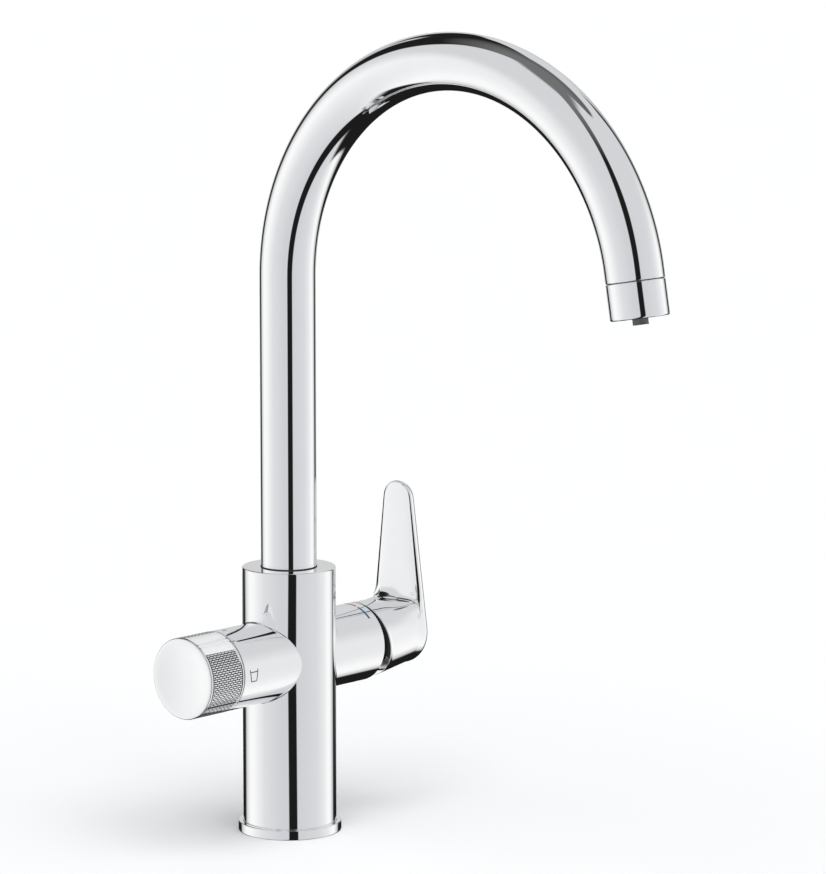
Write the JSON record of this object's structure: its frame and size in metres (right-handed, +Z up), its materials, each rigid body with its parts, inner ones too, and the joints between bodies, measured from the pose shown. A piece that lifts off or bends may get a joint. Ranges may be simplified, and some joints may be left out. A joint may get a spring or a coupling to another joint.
{
  "type": "three-way kitchen tap",
  "caption": "Kitchen tap with a swivelling hooped spout, a side lever that mixes hot and cold, and a side knob for filtered water with its own pipe and nozzle.",
  "frame": {"origin": "on the worktop, at the axis of the column", "axes": "+Z up along the column, the spout points to -Y, the lever is at +X and the knob at -X"},
  "size_m": [0.1632, 0.2638, 0.406],
  "materials": {
    "chrome_plate": "polished",
    "brass": "machined",
    "stainless_steel": "machined",
    "alumina": "lapped",
    "black_rubber": "matt",
    "white_plastic": "moulded",
    "grey_plastic": "moulded"
  },
  "bodies": {
    "tap_body": {"body_casting": "chrome_plate", "base_ring": "chrome_plate", "base_gasket": "black_rubber", "inlet_manifold": "brass", "manifold_seals": "black_rubber", "manifold_circlip": "stainless_steel", "filter_nipple": "brass", "spout_lock_screw": "stainless_steel", "cartridge_base": "white_plastic", "cartridge_seals": "black_rubber", "fixed_disc": "alumina", "cartridge_housing": "white_plastic", "cartridge_nut": "brass", "dome_cap": "chrome_plate", "valve_gasket": "black_rubber", "valve_fixed_disc": "alumina", "valve_headpart": "brass", "knob_guide_ring": "white_plastic"},
    "swivel_spout": {"spout_tube": "chrome_plate", "filter_pipe": "white_plastic", "spout_foot": "brass", "spout_seals": "black_rubber", "spout_slide_rings": "white_plastic", "outlet_sleeve": "chrome_plate", "outlet_seal": "black_rubber", "flow_screen": "stainless_steel", "flow_insert": "white_plastic", "filter_nozzle": "grey_plastic"},
    "mixing_rotor": {"cartridge_rotor": "white_plastic", "stem_pivot_pin": "stainless_steel"},
    "lever": {"lever_handle": "chrome_plate", "control_stem": "stainless_steel", "lever_set_screw": "stainless_steel", "lever_screw_cap": "grey_plastic"},
    "sliding_disc": {"moving_disc": "alumina", "disc_carrier": "white_plastic"},
    "knob": {"filter_knob": "chrome_plate", "knob_insert": "white_plastic", "knob_set_screw": "stainless_steel", "valve_spindle": "brass", "valve_moving_disc": "alumina", "spindle_seal": "black_rubber", "spindle_clip": "stainless_steel"}
  },
  "joints": [
    {"name": "spout_swivel", "type": "hinge", "parent": "tap_body", "child": "swivel_spout", "pos_m": [0, 0, 0.12], "axis": [0, 0, 1], "range_deg": [-75, 75]},
    {"name": "temperature_turn", "type": "hinge", "parent": "tap_body", "child": "mixing_rotor", "pos_m": [0.03825, 0, 0.089], "axis": [1, 0, 0], "range_deg": [-45, 45]},
    {"name": "lever_lift", "type": "hinge", "parent": "mixing_rotor", "child": "lever", "pos_m": [0.03825, 0, 0.089], "axis": [0, 1, 0], "range_deg": [0, 25]},
    {"name": "disc_slide", "type": "slide", "parent": "mixing_rotor", "child": "sliding_disc", "axis": [0, 0, 1], "range_m": [0, 0.0031]},
    {"name": "knob_turn", "type": "hinge", "parent": "tap_body", "child": "knob", "pos_m": [-0.064, 0, 0.089], "axis": [1, 0, 0], "range_deg": [0, 90]}
  ],
  "couplings": [
    {"joint": "disc_slide", "follows": "lever_lift", "m_per_rad": 0.00707}
  ]
}
